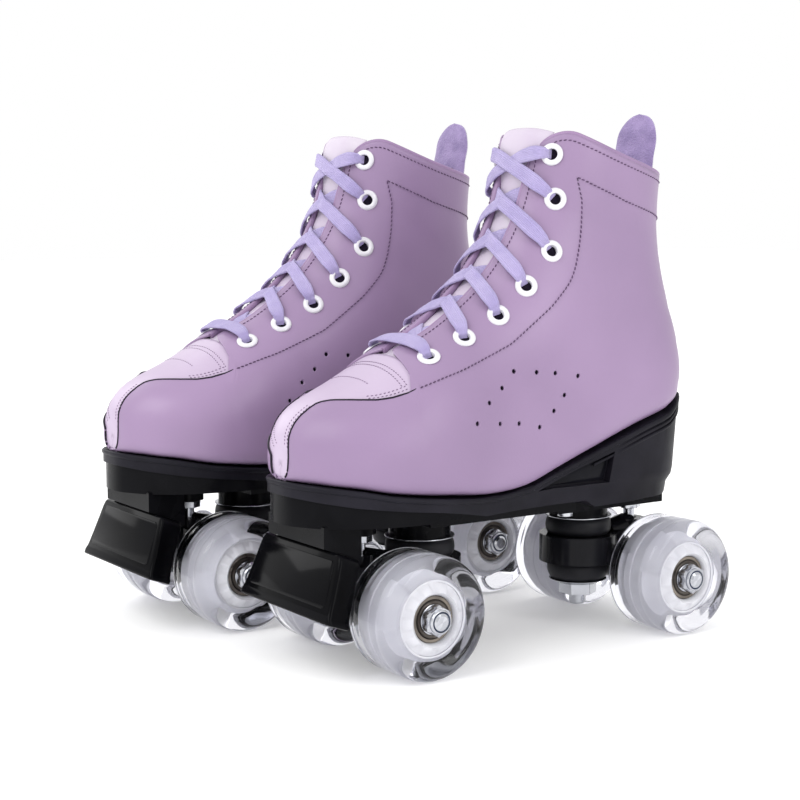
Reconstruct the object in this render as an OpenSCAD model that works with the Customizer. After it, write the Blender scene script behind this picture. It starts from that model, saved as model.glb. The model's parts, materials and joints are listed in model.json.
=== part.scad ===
// A pair of quad roller skates: high laced boots on plates with two rocking trucks each.
// Millimetres. +Z is up, the floor is z = 0, the toes point to -Y.
// The left skate stands at +X and the right skate, its mirror image, at -X.
// Every sub-part is drawn for the left skate about its own centre plane: x is
// outward, y runs from toe to heel. place() sets it down on the left or the right.

/* [Wheels] */
// Diameter of a wheel
wheel_d = 58; // [57:0.5:59]
// Width of a wheel
wheel_w = 32; // [31:0.5:32]
// Distance between the front and the rear axle
wheelbase = 155.4; // [154:0.2:157]
// Distance between the middles of the two wheels on one axle
track = 77.2; // [77:0.2:79]
// Diameter of the clear tyre's bore, where the frosted hub sits
hub_d = 34; // [33:0.5:35]

/* [Bearings and axles] */
// Outer diameter of a bearing
bearing_d = 22; // [22:0.1:22]
// Width of a bearing
bearing_w = 7; // [7:0.1:7]
// Diameter of the axle
axle_d = 8; // [8:0.1:8]
// Depth of a bearing's face inside the wheel's face
bearing_inset = 3.4; // [3:0.1:3.6]
// Radial gap of every running fit
fit = 0.02; // [0.01:0.01:0.05]

/* [Trucks] */
// Distance of each kingpin from the middle of the plate
kingpin_y = 49.7; // [49:0.1:50]
// Diameter of the kingpin
kingpin_d = 10; // [10:0.1:10]
// Distance of each pivot pin from the middle of the plate
pivot_y = 84.3; // [84:0.1:85]
// Height of the pivot pin's ball
pivot_z = 48; // [47.5:0.1:48.5]
// Outer diameter of the ring around the kingpin
ring_d = 40; // [39:0.5:40]

/* [Boot] */
// Thickness of the leather upper
leather = 2.6; // [2.4:0.1:2.8]
// Thickness of the lining
lining_t = 2.2; // [2:0.1:2.4]
// Clear gap between the leather and what lies under it
ply_gap = 0.3; // [0.2:0.05:0.4]
// Thickness of the padded tongue
tongue_t = 3.8; // [3.4:0.1:4]
// Outer diameter of an eyelet's flange
eyelet_d = 11; // [10:0.5:11.5]
// Width of the flat lace
lace_w = 8; // [7:0.5:8.5]

/* [Pair] */
// Distance between the centre planes of the two skates
skate_spacing = 128.8; // [127:0.2:132]
// How far the right skate stands ahead of the left one
stride = 24.4; // [22:0.2:26]

/* [Hidden] */
$fn = 64;
ENDS = ["front", "rear"];
ROWS = ["outer", "inner"];
SKATE_PARTS = ["upper", "lining", "tongue", "pull_tab", "laces", "eyelets", "outsole", "plate",
    "plate_screws", "toe_stop", "kingpins", "kingpin_washers"];
END_PARTS = ["cushions", "truck", "axle", "pivot_pin", "bearings"];

wheel_r = wheel_d / 2;
axle_y = wheelbase / 2;
wheel_in = (track - wheel_w) / 2;
wheel_out = wheel_in + wheel_w;
bearing_in = wheel_in + bearing_inset;
bearing_out = wheel_out - bearing_inset;
axle_end = wheel_out + 4.3;

// Heights of the stack on each kingpin, from the bolt's tip up to the plate's bosses
tip_z = 9.8;
tip_d = kingpin_d - 1.4;
nut_z = 15.6;
cup_z = 21.5;
lower_z = 23.5;
ring_z = 33;
ring_h = 14;
upper_z = ring_z + ring_h;
boss_z = 57;
washer_t = 0.8;

// The plate: its waist rail, its front platform and its rear platform
rail_z = 64.5;
rail_top = 70;
platform_z = 70;
rear_z = 61.5;
heel_z = 66.5;
rail_half = 24;
rear_half = 17;

// Sections of the boot from the toe, over the heel and up to the collar. Each one is a
// closed curve between a point on the front ridge and a point on the sole or the back:
// [ridge y, ridge z, sole y, sole z, half width, widest share, squareness above,
//  squareness below, sag]
SECTIONS = [
    [-127.5, 105, -127.5, 90.5, 7, .45, 2.2, 2.6, 0],
    [-125.5, 113, -125.5, 90, 14, .42, 2.2, 3, 0],
    [-120.5, 120, -120.5, 89.5, 21.5, .38, 2.2, 3.5, 0],
    [-113, 125.5, -113, 88.5, 29.5, .35, 2.2, 4, 0],
    [-103, 130, -103, 87, 36, .33, 2.2, 4, 0],
    [-91, 135, -91, 84.5, 41, .32, 2.2, 4, 0],
    [-77.5, 142, -76, 82.5, 44, .32, 2.2, 4, 0],
    [-64.5, 149, -56, 80.5, 44.5, .34, 2.25, 3.8, 0],
    [-52, 155.5, -33, 79.5, 42, .38, 2.25, 3.4, 0],
    [-40.5, 163.5, -9, 82, 38.5, .42, 2.2, 3, 0],
    [-30, 172, 14, 90, 36.5, .46, 2.15, 2.8, 0],
    [-21, 181, 38, 99, 36, .5, 2.15, 2.6, 0],
    [-13.5, 190, 62, 107.5, 36, .52, 2.3, 2.5, 0],
    [-7.5, 199.5, 84, 114, 35, .53, 2.4, 2.4, 0],
    [-3.5, 208, 99, 122, 33.5, .53, 2.5, 2.3, 0],
    [-.5, 216.5, 103.5, 138, 32.5, .52, 2.55, 2.25, 0],
    [2, 225, 100, 156, 32, .5, 2.6, 2.2, 0],
    [4.5, 233, 94, 174, 32.5, .5, 2.6, 2.2, .5],
    [6.5, 241, 90, 191.5, 33, .5, 2.6, 2.2, 1.5],
    [8.5, 248, 88.5, 209.5, 33.5, .5, 2.6, 2.2, 2.5],
    [10.5, 254, 89.5, 228, 34, .5, 2.6, 2.2, 4]];
LAST = len(SECTIONS) - 1;

// Where the throat starts, as a station number, and half its opening there and at the top
throat_s = 6.7;
throat_low = 5;
throat_top = 12.5;
// How many stations the collar's front corners are rounded down
corner_drop = 2.2;
corner_angle = 38;

// Eyelets from the collar down to the toe: [station, distance from the centre plane]
EYELETS = [[18.2, 21.5], [16, 24], [13.6, 27], [11.7, 26.5], [10.2, 25], [8.7, 24], [7.2, 23.8]];

// Half width of the sole along its length: [y, half width], between round toe and heel
SOLE_PLAN = [[-128.5, 5], [-127.2, 11], [-123.5, 18], [-117.5, 25.5], [-109, 32], [-98, 37],
    [-84, 40.5], [-68, 42], [-52, 41], [-34, 37.5], [-14, 33.5], [8, 31.5], [34, 31.5], [60, 32.5], [74, 32]];
sole_front = 128.5;
heel_back_y = 106;
heel_round = 32;
// Underside of the sole, as [y, z]: over the front platform, along the waist and under the heel
FORE_UNDER = [[-130, 84], [-120, 82], [-105, 79.5], [-85, 77], [-66, 75], [-50, 72.5]];
SOLE_UNDER = concat(FORE_UNDER, [[-38, rail_top + .05], [28, rail_top + .05], [34, heel_z], [91, heel_z],
    [98, 69], [99.5, 75], [103, 78], [108, 100], [109, 121], [107, 119.5], [104, 119]]);

function mix(a, b, t) = a + (b - a) * t;

// Smooth curve through the sections: the section at station s
function spline(a, b, c, d, f) =
    (2 * b + (c - a) * f + (2 * a - 5 * b + 4 * c - d) * f * f + (3 * b - a - 3 * c + d) * f * f * f) / 2;
function section(s) = let (
        i = min(floor(s), LAST - 1),
        b = SECTIONS[i],
        c = SECTIONS[i + 1],
        a = i > 0 ? SECTIONS[i - 1] : 2 * b - c,
        d = i < LAST - 1 ? SECTIONS[i + 2] : 2 * c - b)
    spline(a, b, c, d, s - i);

// Point of the boot's skin at station s and angle a (0 front ridge, 180 sole), depth t inside
function skin(s, a, t = 0) = let (
        k = section(s),
        e = cos(a) >= 0 ? k[6] : k[7],
        x = (k[4] - t) * sign(sin(a)) * pow(abs(sin(a)), 2 / e),
        rise = pow(abs(cos(a)), 2 / e),
        v = cos(a) >= 0 ? mix(k[5], 1, rise) : k[5] * (1 - rise),
        top = [k[0], k[1]],
        low = [k[2], k[3]],
        len = norm(top - low),
        u = (top - low) / len,
        p = low + u * (t + v * (len - 2 * t)) - [u[1], -u[0]] * (k[8] * 4 * v * (1 - v)))
    [x, p[0] + t * max(0, 1 - s / 5), p[1]];

function angle_at(s, x) = let (k = section(s)) asin(pow(x / k[4], k[6] / 2));
function outward(s, a) = let (
        along = skin(s + .1, a) - skin(s - .1, a),
        around = skin(s, a + 1) - skin(s, a - 1),
        n = cross(along, around))
    n / -norm(n);
function above(s, x, h) = let (a = sign(x) * angle_at(s, abs(x))) skin(s, a) + outward(s, a) * h;

// Half the throat's opening at station s
function throat_half(s) =
    throat_low + (throat_top - throat_low) * pow((s - throat_s) / (LAST - throat_s), .6);
function corner_s(s, off) = s - (s > 15 && off < corner_angle
    ? corner_drop * pow((s - 15) / (LAST - 15), 2) * pow(1 - off / corner_angle, 2) : 0);

// Ring of skin points at one station. A closed ring ends where it starts; an open one stops at gap.
function skin_ring(s, gap, n, t) = [for (j = [0 : n]) let (
        a = mix(gap, 360 - gap, j / n),
        off = min(a - gap, 360 - gap - a))
    skin(gap > 0 ? corner_s(s, off) : s, a, t)];

// A shell between two depths of the skin: closed rings up to the throat, open ones after it
module shell(stations, gaps, n, depth, thick) {
    rows = len(stations);
    row = n + 1;
    points = [for (t = [depth, depth + thick], i = [0 : rows - 1])
        each skin_ring(stations[i], gaps[i], n, t)];
    function id(layer, i, j) = (layer * rows + i) * row + (gaps[i] == 0 && j == n ? 0 : j);
    faces = concat(
        [for (i = [0 : rows - 2], j = [0 : n - 1]) each [
            [id(0, i, j), id(0, i, j + 1), id(0, i + 1, j + 1)],
            [id(0, i, j), id(0, i + 1, j + 1), id(0, i + 1, j)],
            [id(1, i, j), id(1, i + 1, j + 1), id(1, i, j + 1)],
            [id(1, i, j), id(1, i + 1, j), id(1, i + 1, j + 1)]]],
        [for (j = [0 : n - 1]) each [
            [id(0, rows - 1, j), id(0, rows - 1, j + 1), id(1, rows - 1, j + 1)],
            [id(0, rows - 1, j), id(1, rows - 1, j + 1), id(1, rows - 1, j)]]],
        [for (i = [0 : rows - 2]) if (gaps[i + 1] > 0) each [
            [id(0, i, 0), id(0, i + 1, 0), id(1, i + 1, 0)],
            [id(0, i, 0), id(1, i + 1, 0), id(1, i, 0)],
            [id(0, i, n), id(1, i + 1, n), id(0, i + 1, n)],
            [id(0, i, n), id(1, i, n), id(1, i + 1, n)]]],
        [[for (j = [n - 1 : -1 : 0]) id(0, 0, j)], [for (j = [0 : n - 1]) id(1, 0, j)]]);
    polyhedron(points, faces);
}

// A flat strip swept along points: each ring is [centre, outward direction, sideways direction]
module strip(rings, w, t) {
    corners = [[-w, -t], [w, -t], [w, t], [-w, t]] / 2;
    points = [for (r = rings, c = corners) r[0] + r[2] * c[0] + r[1] * c[1]];
    last = len(rings) - 1;
    polyhedron(points, concat(
        [for (i = [0 : last - 1], j = [0 : 3]) let (k = (j + 1) % 4)
            [i * 4 + j, i * 4 + k, i * 4 + 4 + k, i * 4 + 4 + j]],
        [[3, 2, 1, 0], [for (j = [0 : 3]) last * 4 + j]]));
}

module at_skin(s, x, h = 0) {
    a = sign(x) * angle_at(s, abs(x));
    n = outward(s, a);
    translate(skin(s, a) + n * h) rotate([0, acos(n[2]), atan2(n[1], n[0])]) children();
}

module each_eyelet() {
    for (e = EYELETS, side = [-1, 1]) at_skin(e[0], side * e[1]) children();
}

module along_x(x0, x1, r, facets = 64) {
    translate([x0, 0, 0]) rotate([0, 90, 0]) cylinder(r = r, h = x1 - x0, $fn = facets);
}

// ---- the boot ----

upper_stations = [0, .5, 1, 1.6, 2.3, 3, 4, 5, 6, throat_s, 7, 7.6, 8.4, 9.2, 10, 11, 12, 13, 14, 15, 16, 17,
    18, 19, LAST];
lining_stations = [1.8, 2.6, 3.6, 4.8, 5.7, 6, 7, 8, 9, 10, 11.5, 13, 14.5, 16, 17.5, 19, LAST];
heel_station = 14;
lining_start = 5.7;
lining_half = 24;
tongue_half = 22;
tongue_gap = .8;

module upper() {
    gaps = [for (s = upper_stations) s > throat_s ? angle_at(s, throat_half(s)) : 0];
    color("plum") resize([0, 0, 0]) difference() {
        shell(upper_stations, gaps, 32, 0, leather);
        each_eyelet() translate([0, 0, -8]) cylinder(d = 6.8, h = 16, $fn = 16);
    }
}

module lining() {
    gaps = [for (s = lining_stations) s > lining_start ? angle_at(s, lining_half) : 0];
    color("mistyrose") shell(lining_stations, gaps, 24, leather + ply_gap, lining_t);
}

module tongue() {
    across = 8;
    stations = [6.3, 7, 8, 9, 10, 11.5, 13, 14.5, 16, 17.5, 19, LAST];
    rows = len(stations);
    row = across + 1;
    top = leather + tongue_gap;
    points = [for (t = [top, top + tongue_t], s = stations, j = [0 : across])
        let (a = mix(-1, 1, j / across) * angle_at(s, tongue_half)) skin(s, a, t)];
    function id(layer, i, j) = (layer * rows + i) * row + j;
    edge = concat([for (j = [0 : across - 1]) [0, j]], [for (i = [0 : rows - 2]) [i, across]],
        [for (j = [across : -1 : 1]) [rows - 1, j]], [for (i = [rows - 1 : -1 : 1]) [i, 0]]);
    count = len(edge);
    color("lavenderblush") polyhedron(points, concat(
        [for (i = [0 : rows - 2], j = [0 : across - 1]) each [
            [id(0, i, j), id(0, i, j + 1), id(0, i + 1, j + 1)],
            [id(0, i, j), id(0, i + 1, j + 1), id(0, i + 1, j)],
            [id(1, i, j), id(1, i + 1, j + 1), id(1, i, j + 1)],
            [id(1, i, j), id(1, i + 1, j), id(1, i + 1, j + 1)]]],
        [for (k = [0 : count - 1]) let (p = edge[k], q = edge[(k + 1) % count]) each [
            [id(0, p[0], p[1]), id(1, q[0], q[1]), id(0, q[0], q[1])],
            [id(0, p[0], p[1]), id(1, p[0], p[1]), id(1, q[0], q[1])]]]));
}

module pull_tab() {
    tab_w = 30;
    tab_t = 2.4;
    tail_w = 18;
    tail = 22;
    reach = 50;
    lean = 10;
    color("mediumpurple") translate([0, 76.5, 212]) rotate([90 - lean, 0, 0])
        translate([0, 0, -tab_t]) linear_extrude(tab_t) union() {
            translate([-tail_w / 2, 0]) square([tail_w, tail]);
            translate([-tab_w / 2, tail]) square([tab_w, reach - tail - tab_w / 2]);
            translate([0, reach - tab_w / 2]) circle(d = tab_w);
        }
}

// The crossings of the lace, each clear of the next, and the bar across the lowest eyelets
module laces() {
    low = 1.6;
    high = 3.3;
    last = len(EYELETS) - 1;
    color("lightsteelblue") resize([0, 0, 0]) union() {
        for (i = [0 : last - 1], side = [-1, 1])
            lace_strand(EYELETS[i + 1], EYELETS[i], side, i + 1 == last ? high : low, high,
                side > 0 ? 3.4 : 1.4);
        lace_strand(EYELETS[last], EYELETS[last], 1, low, low, .8);
    }
}

// One crossing of the lace over the tongue, from an eyelet on one side to one on the other:
// its height over the skin goes from h0 to h1, with a rise between them
module lace_strand(from, to, side, h0, h1, rise) {
    steps = 10;
    path = [for (i = [0 : steps]) let (f = i / steps, x = side * mix(from[1], -to[1], f))
        above(mix(from[0], to[0], f), x, mix(h0, h1, f) + rise * pow(sin(180 * f), .8))];
    rings = [for (i = [0 : steps]) let (
            f = i / steps,
            x = side * mix(from[1], -to[1], f),
            s = mix(from[0], to[0], f),
            ahead = path[min(i + 1, steps)] - path[max(i - 1, 0)],
            n = outward(s, sign(x) * angle_at(s, abs(x))),
            w = cross(ahead / norm(ahead), n))
        [path[i], cross(w / norm(w), ahead / norm(ahead)), w / norm(w)]];
    strip(rings, lace_w, 1.3);
}

module eyelets() {
    color("white") each_eyelet() difference() {
        union() {
            translate([0, 0, .1]) cylinder(d = eyelet_d, h = .8);
            translate([0, 0, -leather - .2]) cylinder(d = 6.6, h = leather + .5);
        }
        translate([0, 0, -4]) cylinder(d = 5.4, h = 6);
    }
}

// ---- sole, plate and toe stop ----

function sole_outline(grow) = let (
        side = [for (p = SOLE_PLAN) [p[1] + grow, p[0] - (p[0] < -120 ? grow : 0)]],
        round = [for (a = [0 : 10 : 180])
            [0, heel_back_y - heel_round] + [cos(a), sin(a)] * (heel_round + grow)])
    concat(side, round, [for (i = [len(side) - 1 : -1 : 0]) [-side[i][0], side[i][1]]]);

// Extrudes a [y, z] outline across the skate
module across_skate(half) {
    rotate([90, 0, 90]) translate([0, 0, -half]) linear_extrude(2 * half) children();
}

module outsole() {
    rows = [for (s = upper_stations) if (s <= heel_station) s];
    top = [for (i = [len(rows) - 1 : -1 : 0]) let (k = section(rows[i])) [k[2], k[3] - .1]];
    toe = [-130, SECTIONS[0][3] - .1];
    recess = [[-3, 78.4], [20, 77.8], [42.7, 77.9], [46, 93.4], [22, 87]];
    recess_depth = 4;
    color([.17, .17, .2]) difference() {
        intersection() {
            translate([0, 0, 60]) linear_extrude(70) polygon(sole_outline(0));
            across_skate(50) polygon(concat(SOLE_UNDER, top, [toe]));
        }
        for (side = [-1, 1]) translate([side * (heel_round + 10 - recess_depth), 0, 0])
            across_skate(10) polygon(recess);
        for (p = SCREWS_FRONT) translate([p[0], p[1], platform_z]) cylinder(d = 4.4, h = front_screw + .3);
        for (p = SCREWS_REAR) translate([p[0], p[1], rear_z]) cylinder(d = 4.4, h = rear_screw + .3);
    }
}

SCREWS_FRONT = [[-19, -89], [19, -89], [-21, -68], [21, -68]];
SCREWS_REAR = [[-12, 31], [12, 31], [-12, 73], [12, 73]];
front_screw = 10;
rear_screw = 18;
// The toe stop: how far it leans forward at the foot, its thickness and its top front edge
toe_tilt = 20;
toe_stop_t = 12;
toe_stop_top = [-116, 60];
toe_lug_t = 6;

module plate() {
    color([.09, .09, .1]) difference() {
        union() {
            intersection() {
                translate([0, 0, 60]) linear_extrude(30) polygon(sole_outline(-1));
                across_skate(50) polygon(concat([[-57, platform_z], [-130, platform_z]],
                    [for (p = FORE_UNDER) p - [0, .1]]));
            }
            translate([-rail_half, -60, rail_z]) cube([2 * rail_half, 88, rail_top - rail_z]);
            translate([-rear_half, 22, rear_z]) cube([2 * rear_half, 70, heel_z - .05 - rear_z]);
            for (end = [-1, 1]) {
                top = end < 0 ? rail_top + .02 : rear_z + 1;
                translate([0, end * kingpin_y, boss_z]) cylinder(r = 15, h = top - boss_z);
            }
            translate([0, -pivot_y, 61]) cylinder(r = 8, h = platform_z - 60);
            translate([-25, -119, 52]) cube([50, 20, platform_z - 51]);
            toe_plane() translate([-15, -17, .05]) cube([30, 24, toe_lug_t]);
        }
        toe_plane() translate([-60, -14.1, -40]) cube([120, 60, 40.05]);
        toe_plane() translate([0, 0, -20]) cylinder(r = 4.05, h = 60);
        for (end = [-1, 1]) translate([0, end * kingpin_y, 50]) cylinder(d = kingpin_d + 2 * fit, h = 40);
        for (end = [-1, 1]) translate([0, end * pivot_y, 50]) cylinder(r = 3 + fit, h = end < 0 ? 26 : 40);
        for (p = SCREWS_FRONT) translate([p[0], p[1], 60]) cylinder(d = 4.4, h = 40);
        for (p = SCREWS_REAR) translate([p[0], p[1], 50]) cylinder(d = 4.4, h = 40);
    }
}

// Frame on the back face of the toe stop: y runs down the pad and z runs back from it
module toe_plane() {
    translate([0, toe_stop_top[0], toe_stop_top[1]]) rotate([-90 - toe_tilt, 0, 0])
        translate([0, 14, toe_stop_t]) children();
}

module toe_stop() {
    half = [[33, -14], [36, -12], [39.5, 13], [41, 17.5]];
    color([.08, .08, .09]) difference() {
        toe_plane() translate([0, 0, -toe_stop_t]) linear_extrude(toe_stop_t)
            polygon(concat(half, [for (i = [len(half) - 1 : -1 : 0]) [-half[i][0], half[i][1]]]));
        toe_plane() translate([0, 0, -7]) cylinder(r = 4.05, h = 20);
    }
}

module plate_screws() {
    color("silver") {
        for (p = SCREWS_FRONT) screw([p[0], p[1], platform_z], front_screw);
        for (p = SCREWS_REAR) screw([p[0], p[1], rear_z], rear_screw);
        toe_plane() translate([0, 0, -6.8]) cylinder(r = 4, h = toe_lug_t + 7);
        toe_plane() translate([0, 0, toe_lug_t + .1]) cylinder(r = 7, h = 4.4, $fn = 6);
    }
}

module screw(at, deep) {
    translate(at) cylinder(d = 4.2, h = deep);
    translate(at - [0, 0, 2.2]) cylinder(d = 8, h = 2.15);
}

// ---- kingpins, cushions and trucks ----

module each_end() {
    for (end = [0, 1]) mirror([0, end, 0]) children();
}

module kingpins() {
    color("silver") each_end() translate([0, kingpin_y, 0]) {
        translate([0, 0, tip_z + 1]) cylinder(d = tip_d, h = nut_z - tip_z - 1);
        translate([0, 0, tip_z]) cylinder(d1 = tip_d - 2, d2 = tip_d, h = 1);
        translate([0, 0, nut_z]) cylinder(d = kingpin_d, h = heel_z - 1 - nut_z);
        translate([0, 0, nut_z]) difference() {
            cylinder(r = 9.8, h = cup_z - nut_z, $fn = 6);
            translate([0, 0, -1]) cylinder(d = kingpin_d + .1, h = 10);
        }
    }
}

module kingpin_washers() {
    color("silver") each_end() translate([0, kingpin_y, 0]) {
        difference() {
            translate([0, 0, boss_z - washer_t]) cylinder(r = 17, h = washer_t - .02);
            cylinder(d = kingpin_d + .4, h = 80);
        }
        difference() {
            translate([0, 0, cup_z + .02]) cylinder(r1 = 11, r2 = 15, h = lower_z - cup_z - .04);
            cylinder(d = kingpin_d + .4, h = 80);
        }
    }
}

// Two rubber cushions, one above and one below the ring, each with a neck inside the ring
module cushions() {
    neck = 7.5;
    upper_h = boss_z - washer_t - upper_z - .1;
    lower_h = ring_z - lower_z - .1;
    color([.1, .1, .11]) translate([0, kingpin_y, 0]) difference() {
        union() {
            translate([0, 0, upper_z + .05]) cylinder(r1 = 16.8, r2 = 16.2, h = upper_h);
            translate([0, 0, upper_z - 5]) cylinder(r = neck, h = 6);
            translate([0, 0, lower_z + .05]) cylinder(r1 = 14.6, r2 = 16, h = lower_h);
            translate([0, 0, ring_z - 1]) cylinder(r = neck, h = 6);
        }
        cylinder(d = kingpin_d + .6, h = 80);
    }
}

module truck() {
    hanger_x = 20.8;
    spine_r = 6.5;
    spine_start = 20;
    ring_middle = ring_z + ring_h / 2;
    reach = [pivot_y - kingpin_y, pivot_z - ring_middle];
    lean = atan2(reach[1], reach[0]);
    color([.11, .11, .12]) difference() {
        union() {
            translate([0, kingpin_y, ring_z]) cylinder(d = ring_d, h = ring_h);
            translate([-11, kingpin_y + 14, 34]) cube([22, pivot_y - kingpin_y - 8, 13]);
            translate([0, kingpin_y, ring_middle]) rotate([lean - 90, 0, 0])
                translate([0, 0, spine_start]) cylinder(r = spine_r, h = norm(reach) - spine_start);
            translate([0, axle_y, wheel_r]) along_x(-hanger_x, hanger_x, 9.5);
            translate([0, axle_y, wheel_r]) along_x(-bearing_in + .05, bearing_in - .05, 6.2);
            translate([-10, axle_y - 8, 24]) cube([20, 18, 16]);
            translate([0, pivot_y, 36]) cylinder(r = 8, h = 15.5);
        }
        translate([0, kingpin_y, 0]) cylinder(r = 9, h = 80);
        translate([0, axle_y, wheel_r]) along_x(-60, 60, axle_d / 2 + fit);
        translate([0, pivot_y, pivot_z]) sphere(r = 4 + fit);
        translate([0, pivot_y, pivot_z]) cylinder(r = 4 + fit, h = 10);
    }
}

module pivot_pin() {
    color("silver") translate([0, pivot_y, 0]) {
        translate([0, 0, pivot_z]) sphere(r = 4);
        translate([0, 0, pivot_z]) cylinder(r = 3, h = 66 - pivot_z);
        difference() {
            translate([0, 0, 57]) cylinder(r = 6.2, h = 3.4, $fn = 6);
            cylinder(r = 2.9, h = 80);
        }
    }
}

// ---- axles, bearings and wheels ----

module axle() {
    color("silver") translate([0, axle_y, wheel_r]) {
        along_x(-axle_end, axle_end, axle_d / 2);
        for (side = [0, 1]) mirror([side, 0, 0]) {
            axle_ring(bearing_in + bearing_w + .05, bearing_out - bearing_w - .05, 6);
            axle_ring(bearing_out + .05, bearing_out + .7, 7);
            axle_ring(bearing_out + .75, bearing_out + 5.6, 7.5, 6);
            axle_ring(bearing_out + 5.65, bearing_out + 6.9, 5.6);
        }
    }
}

module axle_ring(x0, x1, r, facets = 64) {
    difference() {
        along_x(x0, x1, r, facets);
        along_x(x0 - 1, x1 + 1, axle_d / 2 + .05);
    }
}

module bearings() {
    color([.35, .33, .3]) translate([0, axle_y, wheel_r])
        for (side = [-1, 1], x = [bearing_in, bearing_out - bearing_w])
            translate([side * (x + bearing_w / 2), 0, 0])
                rotate([0, 90, 0]) rotate_extrude() bearing_section();
}

module bearing_section() {
    shield = .5;
    difference() {
        translate([axle_d / 2 + .04, -bearing_w / 2]) square([bearing_d / 2 - axle_d / 2 - .04, bearing_w]);
        for (side = [-1, 1]) translate([6.2, side * bearing_w / 2 - shield]) square([3, 2 * shield]);
    }
}

// Places a wheel part; its own axis is z, and +z faces out of the skate
module wheel_place(row) {
    side = row == "outer" ? 1 : -1;
    translate([side * track / 2, axle_y, wheel_r]) rotate([0, side * 90, 0]) children();
}

module tyre() {
    rim = wheel_w / 2;
    corner = 5;
    arc = [for (a = [0 : 15 : 90]) [wheel_r - corner + corner * cos(a), rim - corner + corner * sin(a)]];
    half = concat(arc, [[21.5, rim], [hub_d / 2 + .02, 12]]);
    color("whitesmoke") rotate_extrude($fn = 96)
        polygon(concat(half, [for (i = [len(half) - 1 : -1 : 0]) [half[i][0], -half[i][1]]]));
}

module hub() {
    hub_r = hub_d / 2;
    seat = bearing_out - track / 2;
    color("white") difference() {
        rotate_extrude($fn = 96) polygon([[9, -6], [9, 6], [13, 15], [hub_r, 12], [hub_r, -12], [13, -15]]);
        for (side = [-1, 1]) mirror([0, 0, side < 0 ? 1 : 0]) {
            translate([0, 0, seat - bearing_w]) cylinder(d = bearing_d + 2 * fit, h = 20);
            for (a = [0 : 36 : 324]) rotate([0, 0, a]) translate([12.2, -1.6, 9.5]) cube([3.4, 3.2, 8]);
        }
    }
}

// ---- assembly ----

// The left skate's shift along y that centres the pair
left_y = (stride + sole_front - axle_y - wheel_r) / 2;

module place(side) {
    left = side == "left";
    translate([(left ? .5 : -.5) * skate_spacing, left ? left_y : left_y - stride, 0])
        mirror([left ? 0 : 1, 0, 0]) children();
}

module at_end(end) {
    mirror([0, end == "front" ? 1 : 0, 0]) children();
}

module skate_part(part) {
    if (part == "upper") upper();
    if (part == "lining") lining();
    if (part == "tongue") tongue();
    if (part == "pull_tab") pull_tab();
    if (part == "laces") laces();
    if (part == "eyelets") eyelets();
    if (part == "outsole") outsole();
    if (part == "plate") plate();
    if (part == "plate_screws") plate_screws();
    if (part == "toe_stop") toe_stop();
    if (part == "kingpins") kingpins();
    if (part == "kingpin_washers") kingpin_washers();
}

module end_part(part) {
    if (part == "cushions") cushions();
    if (part == "truck") truck();
    if (part == "axle") axle();
    if (part == "pivot_pin") pivot_pin();
    if (part == "bearings") bearings();
}

for (side = ["left", "right"]) {
    for (p = SKATE_PARTS) place(side) skate_part(p);
    for (e = ENDS, p = END_PARTS)
        place(side) at_end(e) end_part(p);
    for (e = ENDS, r = ROWS) {
        wheel = str(side, "_", e, "_", r);
        place(side) at_end(e) wheel_place(r) tyre();
        place(side) at_end(e) wheel_place(r) hub();
    }
}
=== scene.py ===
import json
import math

import bmesh
import bpy
from mathutils import Matrix, Vector

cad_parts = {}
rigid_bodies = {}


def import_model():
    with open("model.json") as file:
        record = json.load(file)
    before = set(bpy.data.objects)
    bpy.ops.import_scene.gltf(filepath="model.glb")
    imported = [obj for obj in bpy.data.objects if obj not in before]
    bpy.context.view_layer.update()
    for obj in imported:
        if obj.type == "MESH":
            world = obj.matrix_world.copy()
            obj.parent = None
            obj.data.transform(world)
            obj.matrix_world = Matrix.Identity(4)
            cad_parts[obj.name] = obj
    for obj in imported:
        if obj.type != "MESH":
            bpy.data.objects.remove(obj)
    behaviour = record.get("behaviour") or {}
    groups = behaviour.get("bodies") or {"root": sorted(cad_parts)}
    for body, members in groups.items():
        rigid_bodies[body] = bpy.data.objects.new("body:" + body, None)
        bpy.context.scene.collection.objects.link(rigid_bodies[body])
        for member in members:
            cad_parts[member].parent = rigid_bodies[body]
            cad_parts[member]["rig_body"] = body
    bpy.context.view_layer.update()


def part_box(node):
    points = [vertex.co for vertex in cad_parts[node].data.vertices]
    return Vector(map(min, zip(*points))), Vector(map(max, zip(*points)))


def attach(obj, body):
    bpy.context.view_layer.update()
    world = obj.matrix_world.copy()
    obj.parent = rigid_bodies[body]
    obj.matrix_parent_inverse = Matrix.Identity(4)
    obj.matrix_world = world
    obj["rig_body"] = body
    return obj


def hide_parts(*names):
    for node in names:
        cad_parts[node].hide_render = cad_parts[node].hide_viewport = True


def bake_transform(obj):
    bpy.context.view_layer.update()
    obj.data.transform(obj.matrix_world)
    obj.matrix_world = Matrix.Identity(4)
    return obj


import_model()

# The pair of quad roller skates. Every shape is drawn in millimetres for the left skate
# (x outward, y from toe to heel, z up) and is set down on either skate by a matrix.

MM = 0.001
SIDES = {"left": 1, "right": -1}
ENDS = {"front": -1, "rear": 1}
ROWS = {"outer": 1, "inner": -1}


def middle(node):
    low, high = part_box(node)
    return [(a + b) / 2 / MM for a, b in zip(low, high)]


WHEEL_R = middle("left_front_axle")[2]
AXLE_Y = (middle("left_rear_axle")[1] - middle("left_front_axle")[1]) / 2
WHEEL_X = middle("left_front_outer_tyre")[0] - middle("left_front_axle")[0]


def skate_matrix(side):
    front, rear = middle(side + "_front_axle"), middle(side + "_rear_axle")
    at = Matrix.Translation((front[0], (front[1] + rear[1]) / 2, 0))
    return at @ Matrix.Diagonal((SIDES[side], 1, 1, 1))


def end_matrix(side, end):
    return skate_matrix(side) @ Matrix.Diagonal((1, ENDS[end], 1, 1))


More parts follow.
